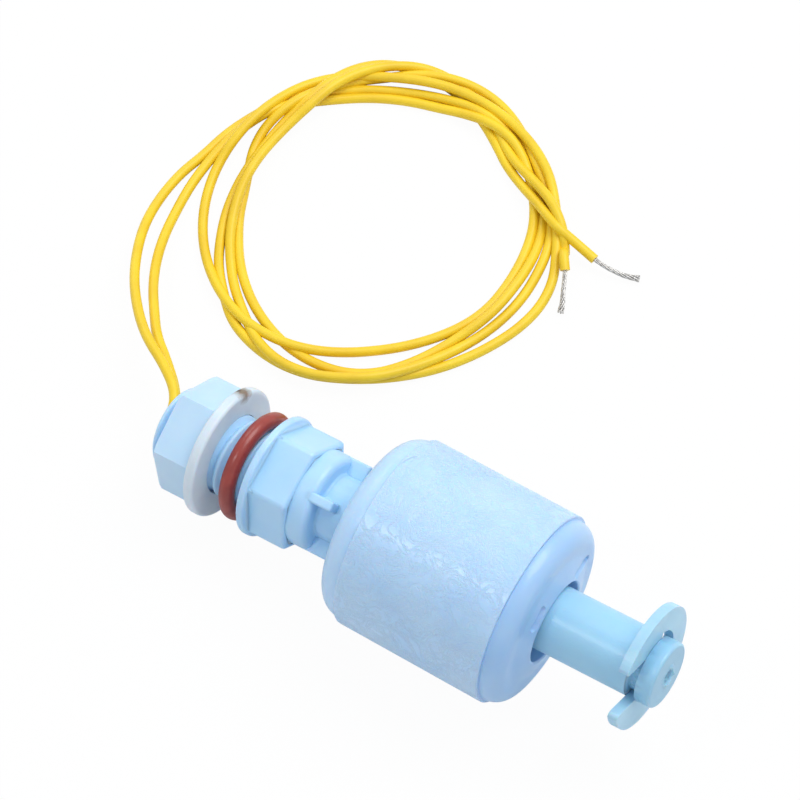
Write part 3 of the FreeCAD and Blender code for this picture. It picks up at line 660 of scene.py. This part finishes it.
# The threaded skin of the stud, with its chamfered end and the first of the bore.
steps = [(-THREAD_STEP * k, THREAD_CREST) for k in range(135)]
lathe(stem_mesh, [(0.0, STUD_CORE)] + steps + [(-13.55, 4.94), (-13.78, 4.68), (STUD_END, 4.35),
                  (STUD_END, BORE + 0.2), (STUD_END + 0.15, BORE), (-12.9, BORE)], 96, skew=thread)
bmesh.ops.recalc_face_normals(stem_mesh, faces=stem_mesh.faces)
stem = finished("moulded_stem", stem_mesh, moulding, "stem")
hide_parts("stem_body")


# ---- nut ---------------------------------------------------------------------------------------
# A hexagon nut moulded in the same plastic, its outer end turned down to a shallow 30 degree
# chamfer, running on the stud's thread.
NUT_FLATS = 12.7
NUT_INNER_FACE = -7.1
NUT_OUTER_FACE = -12.1
NUT_TURN = math.radians(-5.4)
NUT_CHAMFER = 6.95               # radius at which the chamfer meets the outer face
NUT_SLOPE = 1.73                 # the chamfer's rise in radius for each millimetre along
NUT_BORE = 5.08
NUT_SIDES = 72


def hexagon_reach(angle, flats):
    """Distance from the middle to the edge of a hexagon in that direction."""
    return flats / 2 / math.cos((angle - NUT_TURN) % (math.pi / 3) - math.pi / 6)


nut_mesh = bmesh.new()
rings = []
for k in range(NUT_SIDES):
    angle = NUT_TURN + math.tau * k / NUT_SIDES
    reach = hexagon_reach(angle + 1e-9, NUT_FLATS)
    cut = max(0.0, (reach - NUT_CHAMFER) / NUT_SLOPE)
    profile = [(NUT_INNER_FACE, NUT_BORE), (NUT_INNER_FACE, reach),
               (NUT_OUTER_FACE + cut + 0.001, reach),
               (NUT_OUTER_FACE, min(reach, NUT_CHAMFER) - 0.001), (NUT_OUTER_FACE, NUT_BORE)]
    rings.append([nut_mesh.verts.new(on_stem(a, r, angle)) for a, r in profile])
for k in range(NUT_SIDES):
    here, there = rings[k], rings[(k + 1) % NUT_SIDES]
    for i in range(5):
        j = (i + 1) % 5
        nut_mesh.faces.new((here[i], here[j], there[j], there[i]))
bmesh.ops.dissolve_limit(nut_mesh, angle_limit=math.radians(1.0), verts=nut_mesh.verts,
                         edges=nut_mesh.edges)
bmesh.ops.recalc_face_normals(nut_mesh, faces=nut_mesh.faces)
nut_stock, _, _ = finish_of(
    "nut polypropylene", colour(192, 222, 245), colour(184, 217, 242), patch_size=160.0,
    grain_size=2200.0, grain_depth=0.14, Roughness=0.36, Subsurface_Weight=0.3,
    Subsurface_Scale=0.0015)
nut = finished("moulded_nut", nut_mesh, nut_stock, "nut", bevel=0.32, sharp=40)
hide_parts("hex_nut")


# ---- washer ------------------------------------------------------------------------------------
# A plain natural polyethylene washer, milky and a little see-through, with handling smudges on
# its rim.
washer_stock, washer_shader, _ = finish_of(
    "natural polyethylene", colour(216, 231, 241), colour(205, 221, 232), patch_size=240.0,
    grain_size=2600.0, grain_depth=0.10, Roughness=0.4, Subsurface_Weight=0.3,
    Subsurface_Scale=0.0015)
tree = washer_stock.node_tree
base = washer_shader.inputs["Base Color"].links[0].from_socket
coords = node_in(tree, "ShaderNodeTexCoord")
ragged = node_in(tree, "ShaderNodeTexNoise", Scale=1500.0, Detail=3.0)
tree.links.new(coords.outputs["Object"], ragged.inputs["Vector"])
# Each smudge: where, how far it reaches, how ragged its edge is, and its colour.
for place, size, wander, tone in (
        ((-0.0268, 0.0049, 0.0146), 0.0016, 0.0011, colour(112, 88, 58)),
        ((-0.0274, 0.0047, 0.0147), 0.0005, 0.0002, colour(34, 32, 48))):
    away = node_in(tree, "ShaderNodeVectorMath", operation="DISTANCE")
    away.inputs[1].default_value = place
    wobble = maths(tree, "MULTIPLY_ADD", ragged.outputs["Fac"], -wander, wander / 2)
    near = node_in(tree, "ShaderNodeMapRange", From_Min=size, From_Max=size * 0.3, To_Max=0.9)
    tint = node_in(tree, "ShaderNodeMix", data_type="RGBA")
    tint.inputs[7].default_value = tone
    link(tree, (coords.outputs["Object"], away.inputs[0]),
         (maths(tree, "ADD", away.outputs["Value"], wobble), near.inputs["Value"]),
         (near.outputs["Result"], tint.inputs[0]), (base, tint.inputs[6]))
    base = tint.outputs[2]
tree.links.new(base, washer_shader.inputs["Base Color"])
dress("flat_washer", washer_stock)


# ---- O-ring ------------------------------------------------------------------------------------
# A brick-red silicone O-ring, a little dusty, stretched over the thread and lying off its seat.
rubber, _, _ = finish_of(
    "silicone rubber", colour(158, 58, 48), colour(138, 46, 40), patch_size=420.0,
    grain_size=3200.0, grain_depth=0.12, Roughness=0.3, Specular_IOR_Level=0.55)
dress("o_ring", rubber)


# ---- clip --------------------------------------------------------------------------------------
# A flat C-shaped retaining clip, moulded in the stem's plastic and snapped into the groove.
clip_stock, _, _ = finish_of(
    "clip polypropylene", colour(170, 214, 236), colour(158, 205, 230), patch_size=200.0,
    grain_size=2400.0, grain_depth=0.15, Roughness=0.34, Subsurface_Weight=0.3,
    Subsurface_Scale=0.0012)
clip_mesh = merged_copy("retaining_clip")
clip = finished("snap_clip", clip_mesh, clip_stock, "stem", bevel=0.16, sharp=50)
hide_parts("retaining_clip")


# ---- float -------------------------------------------------------------------------------------
# A closed-cell foamed polypropylene ring moulded in one piece, with a rounded shoulder at each end
# and a bore that clears the stem.  Its band shows the swirled flow marks of the foam.
FLOAT_MIDDLE = Vector((0.0061021, 0.0, 0.0124169))    # middle of the band
FLOAT_ALONG = Vector((0.998054, 0.0, 0.062360))       # it leans a little on the stem
FLOAT_UP = Vector((-0.062360, 0.0, 0.998054))
FLOAT_BORE = 5.1
BAND_RADIUS = 11.85
END_RADIUS = 11.4
BAND_HALF = 9.55
MOUNT_FACE = -12.65
TIP_FACE = 11.8
TIP_HUB = 12.65
FLOAT_SIDES = 320
FACE_STEP = 0.13                 # between the rings of the tip end, fine enough for its marks
SCAR_PLACE = (-0.0089, 0.0042, 0.0111)
SCAR_REACH = (0.00030, 0.0013, 0.0016)


def on_float(along, radius, angle):
    """A point given by its place along the float from the middle of its band."""
    up, aside = radius * math.cos(angle), radius * math.sin(angle)
    return FLOAT_MIDDLE + (FLOAT_ALONG * along + FLOAT_UP * up + AXIS_ASIDE * aside) / 1000


def rounded_outline(corners):
    """(along, radius) points of a closed outline; each corner is (along, radius, edge radius)."""
    outline = []
    for i, (along, radius, edge) in enumerate(corners):
        here = Vector((along, radius))
        before, after = Vector(corners[i - 1][:2]), Vector(corners[(i + 1) % len(corners)][:2])
        if edge == 0:
            outline.append((along, radius))
            continue
        into, out = (here - before).normalized(), (after - here).normalized()
        turn = into.angle(out)
        setback = edge * math.tan(turn / 2)
        centre = here - into * setback + (out - into * into.dot(out)).normalized() * edge
        first, last = here - into * setback - centre, here + out * setback - centre
        count = max(2, round(math.degrees(turn) / 7))
        for k in range(count + 1):
            outline.append(tuple(centre + first.lerp(last, k / count).normalized() * edge))
    return outline


# Shallow marks of the pins that held the magnet in the mould: ends of each in millimetres up and
# aside of the bore, half width and depth.
PIN_MARKS = [((5.04, 3.94), (6.09, 1.98), 0.45, 0.45), ((-5.04, -3.94), (-6.09, -1.98), 0.45, 0.45),
             ((3.3, -5.1), (1.2, -8.1), 0.50, 0.30)]


def mark_depth(up, aside):
    """How deep the tip end is pressed in at a place."""
    deepest, place = 0.0, Vector((up, aside))
    for first, last, half, depth in PIN_MARKS:
        first, last = Vector(first), Vector(last)
        share = (place - first).dot(last - first) / (last - first).length_squared
        share = min(1.0, max(0.0, share))
        away = (place - first.lerp(last, share)).length
        inside_by = min(1.0, max(0.0, (half + 0.07 - away) / 0.14))
        deepest = max(deepest, depth * inside_by * inside_by * (3 - 2 * inside_by))
    return deepest


outline = rounded_outline([
    (MOUNT_FACE, FLOAT_BORE, 0.25), (MOUNT_FACE, END_RADIUS, 2.8), (-BAND_HALF, END_RADIUS, 0),
    (-BAND_HALF, BAND_RADIUS, 0.14), (BAND_HALF, BAND_RADIUS, 0.14), (BAND_HALF, END_RADIUS, 0),
    (TIP_FACE, END_RADIUS, 2.1), (TIP_FACE, 8.0, 3.0), (TIP_HUB, FLOAT_BORE, 0.25)])
fine = []
for (along, radius), (next_along, next_radius) in zip(outline, outline[1:] + outline[:1]):
    length = math.hypot(next_along - along, next_radius - radius)
    pieces = max(1, round(length / FACE_STEP)) if min(along, next_along) > TIP_FACE - 0.3 else 1
    for k in range(pieces):
        fine.append((along + (next_along - along) * k / pieces,
                     radius + (next_radius - radius) * k / pieces))
float_mesh = bmesh.new()
for ring in lathe(float_mesh, fine, FLOAT_SIDES, closed=True, place=on_float):
    for vert in ring:
        offset = (vert.co - FLOAT_MIDDLE) * 1000
        if offset.dot(FLOAT_ALONG) > TIP_FACE - 0.8:
            depth = mark_depth(offset.dot(FLOAT_UP), offset.dot(AXIS_ASIDE))
            vert.co -= FLOAT_ALONG * depth / 1000
bmesh.ops.recalc_face_normals(float_mesh, faces=float_mesh.faces)
foam, foam_shader, foam_skin = finish_of(
    "foamed float", colour(175, 212, 248), colour(186, 219, 250), patch_size=130.0,
    grain_size=3400.0, grain_depth=0.30, Roughness=0.28, Subsurface_Weight=0.25,
    Subsurface_Scale=0.002)
tree = foam.node_tree
coords = node_in(tree, "ShaderNodeTexCoord")
turned_round = node_in(tree, "ShaderNodeMapping", vector_type="TEXTURE", Location=FLOAT_MIDDLE,
                       Rotation=(0.0, -math.atan2(FLOAT_ALONG.z, FLOAT_ALONG.x), 0.0))
parts = node_in(tree, "ShaderNodeSeparateXYZ")
across = maths(tree, "POWER", parts.outputs["Y"], 2.0)
over = maths(tree, "POWER", parts.outputs["Z"], 2.0)
radius = maths(tree, "SQRT", maths(tree, "ADD", across, over))
band = node_in(tree, "ShaderNodeMapRange", From_Min=0.01150, From_Max=0.01175)
# Creases of the foam's flow, and one short scar by the rim.
swirl = node_in(tree, "ShaderNodeTexNoise", Scale=300.0, Detail=6.0, Roughness=0.68,
                Distortion=2.2)
crease = maths(tree, "ABSOLUTE", maths(tree, "SUBTRACT", swirl.outputs["Fac"], 0.5))
thin = node_in(tree, "ShaderNodeMapRange", From_Min=0.0, From_Max=0.06)
marks = maths(tree, "MULTIPLY", thin.outputs["Result"], band.outputs["Result"])
scar_place = node_in(tree, "ShaderNodeMapping", vector_type="TEXTURE", Location=SCAR_PLACE,
                     Rotation=(0.0, 0.0, -0.33), Scale=SCAR_REACH)
scar_far = node_in(tree, "ShaderNodeVectorMath", operation="LENGTH")
scar = node_in(tree, "ShaderNodeMapRange", From_Min=1.0, From_Max=0.5)
height = maths(tree, "ADD", marks, maths(tree, "MULTIPLY", scar.outputs["Result"], 7.0))
flow = node_in(tree, "ShaderNodeBump", Strength=0.42, Distance=0.00012)
# Along the creases the skin is paler.
streaks = maths(tree, "MULTIPLY", maths(tree, "SUBTRACT", 1.0, thin.outputs["Result"]),
                band.outputs["Result"])
pale = node_in(tree, "ShaderNodeMix", data_type="RGBA")
pale.inputs[7].default_value = colour(222, 240, 255)
# Painted shade: the tip end is painted a shade deeper than the band, standing in for the shade on
# that end.
tip = node_in(tree, "ShaderNodeMapRange", From_Min=0.0093, From_Max=0.0099)
painted_tip_shade = node_in(tree, "ShaderNodeMix", data_type="RGBA", blend_type="MULTIPLY")
painted_tip_shade.inputs[7].default_value = colour(229, 238, 246)
link(tree, (coords.outputs["Object"], turned_round.inputs["Vector"]),
     (turned_round.outputs["Vector"], parts.inputs["Vector"]),
     (turned_round.outputs["Vector"], swirl.inputs["Vector"]),
     (turned_round.outputs["Vector"], scar_place.inputs["Vector"]),
     (scar_place.outputs["Vector"], scar_far.inputs[0]),
     (scar_far.outputs["Value"], scar.inputs["Value"]),
     (radius, band.inputs["Value"]), (crease, thin.inputs["Value"]),
     (height, flow.inputs["Height"]), (foam_skin.outputs["Normal"], flow.inputs["Normal"]),
     (flow.outputs["Normal"], foam_shader.inputs["Normal"]),
     # The tip mask and the multiply below paint shade onto the tip end.
     (parts.outputs["X"], tip.inputs["Value"]),
     (tip.outputs["Result"], painted_tip_shade.inputs[0]),
     (maths(tree, "MULTIPLY", streaks, 0.13), pale.inputs[0]),
     (foam_skin.outputs["Colour"], pale.inputs[6]),
     (pale.outputs[2], painted_tip_shade.inputs[6]),
     (painted_tip_shade.outputs[2], foam_shader.inputs["Base Color"]))
foam_float = finished("foamed_float", float_mesh, foam, "float")
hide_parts("float_body")


# ---- magnet, reed and wiring inside ------------------------------------------------------------
# A ring magnet in the float; in the stem's bore a glass reed soldered between the two leads, its
# joints in black sleeves, sealed with clear amber resin at the stud's mouth.
inside = {
    "ferrite": (colour(58, 58, 60), colour(44, 44, 46), dict(Roughness=0.6)),
    "reed_glass": (colour(190, 222, 200), colour(180, 215, 192),
                   dict(Roughness=0.06, Transmission_Weight=0.85, IOR=1.5)),
    "tinned_metal": (colour(205, 203, 200), colour(176, 174, 172),
                     dict(Roughness=0.3, Metallic=0.9)),
    "solder": (colour(186, 186, 188), colour(160, 160, 164),
               dict(Roughness=0.35, Metallic=0.9)),
    "black_sleeve": (colour(30, 30, 32), colour(22, 22, 24), dict(Roughness=0.5)),
    "potting_resin": (colour(206, 196, 160), colour(190, 178, 140), dict(Roughness=0.25)),
}
for kind, (tone, patch, shader) in inside.items():
    inner, _, _ = finish_of(kind.replace("_", " "), tone, patch, patch_size=800.0,
                            grain_size=6000.0, grain_depth=0.1, **shader)
    inside[kind] = inner
for piece, kind in (("ring_magnet", "ferrite"), ("reed_glass", "reed_glass"),
                    ("reed_blade_upper", "tinned_metal"), ("reed_blade_lower", "tinned_metal"),
                    ("lead_core_upper", "tinned_metal"), ("lead_core_lower", "tinned_metal"),
                    ("solder_joint_upper", "solder"), ("solder_joint_lower", "solder"),
                    ("shrink_sleeve_upper", "black_sleeve"),
                    ("shrink_sleeve_lower", "black_sleeve"), ("potting_plug", "potting_resin")):
    dress(piece, inside[kind])
